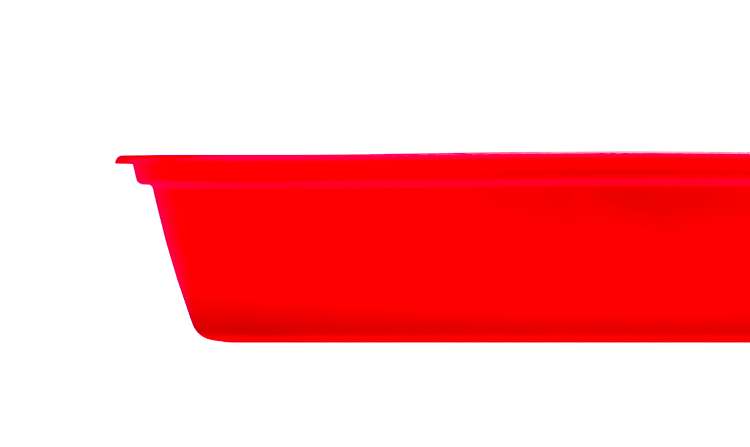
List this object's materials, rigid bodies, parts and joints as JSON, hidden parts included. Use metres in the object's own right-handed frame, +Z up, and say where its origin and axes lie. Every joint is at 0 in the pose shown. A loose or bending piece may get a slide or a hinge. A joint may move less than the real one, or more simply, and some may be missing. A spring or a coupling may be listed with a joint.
{
  "type": "developing tray",
  "caption": "Open rectangular tray for processing photographic prints, with tapered walls, a stacking ledge, a flat rim, a ribbed floor and a pouring spout at a corner.",
  "frame": {"origin": "centre of the underside, on the surface that the tray stands on", "axes": "+X along the tray's length, +Y across its width, +Z up out of the open top; the pouring spout is in the corner towards +X and +Y"},
  "size_m": [0.32, 0.27, 0.06],
  "materials": {
    "tray_plastic": "glossy moulded red plastic, self-coloured, with fine handling scratches"
  },
  "bodies": {
    "root": {"tray": "tray_plastic"}
  },
  "joints": []
}
